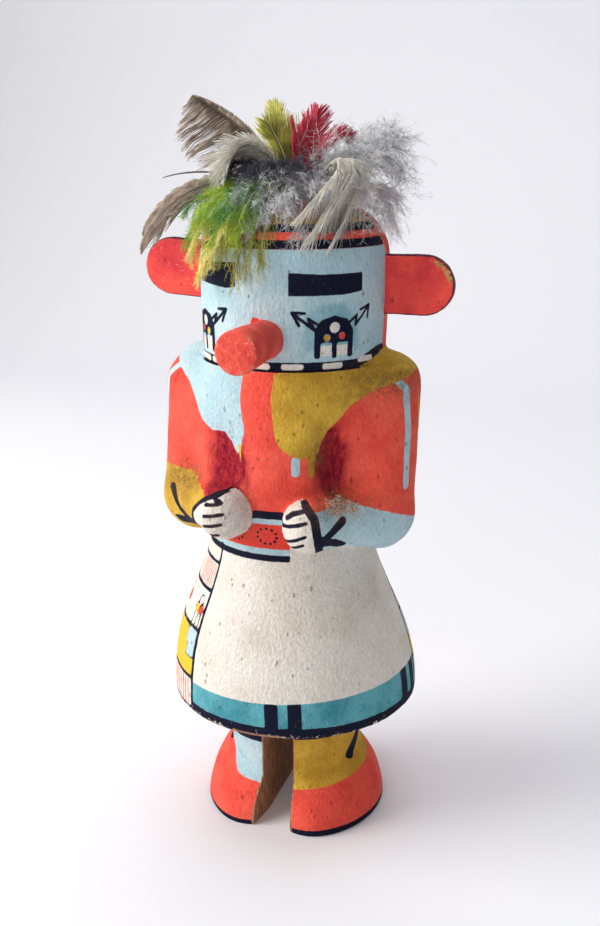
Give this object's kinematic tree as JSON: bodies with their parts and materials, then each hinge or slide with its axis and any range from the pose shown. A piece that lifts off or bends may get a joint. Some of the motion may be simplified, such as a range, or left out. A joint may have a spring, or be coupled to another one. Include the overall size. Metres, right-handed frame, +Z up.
{
  "type": "kachina doll",
  "caption": "Standing carved and painted wooden doll with a drum head, tube snout, paddle ears, folded arms, flared kilt and a crest of loose feathers.",
  "frame": {"origin": "on the ground under the middle of the doll's bounding box", "axes": "+Z up; the doll faces -Y and its left hand is towards +X"},
  "size_m": [0.1098, 0.1018, 0.2574],
  "materials": {
    "painted_wood": "matt mineral paint over gesso on carved root wood, orange-red, ochre, pale blue, turquoise, navy and off-white, worn at the hem and creases",
    "snout_paint": "matt orange-red paint on carved root wood",
    "ear_paint": "matt orange-red paint on thin wood, chipped at the rim",
    "brown_feather": "barred brown vane feather",
    "dark_feather": "near-black feather with a slight sheen",
    "cream_feather": "cream body feather",
    "grey_feather": "grey and white down",
    "pale_down_feather": "pinkish grey down",
    "olive_feather": "dyed olive feather",
    "green_feather": "dyed bright green marabou fluff",
    "yellow_feather": "dyed yellow marabou fluff",
    "red_feather": "dyed crimson feather"
  },
  "bodies": {
    "root": {"carved_figure": "painted_wood", "snout": "snout_paint", "ear_left": "ear_paint", "ear_right": "ear_paint", "feather_olive_tall": "olive_feather", "feather_brown_upper": "brown_feather", "feather_dark_spike": "dark_feather", "feather_brown_lower": "brown_feather", "feather_cream_comb": "cream_feather", "feather_green_marabou": "green_feather", "feather_black_fluff": "dark_feather", "feather_yellow_marabou": "yellow_feather", "feather_olive_marabou": "olive_feather", "feather_grey_front": "grey_feather", "feather_red_left": "red_feather", "feather_cream_curl": "cream_feather", "feather_pale_down": "pale_down_feather", "feather_grey_down": "grey_feather", "feather_red_right": "red_feather"}
  },
  "joints": []
}
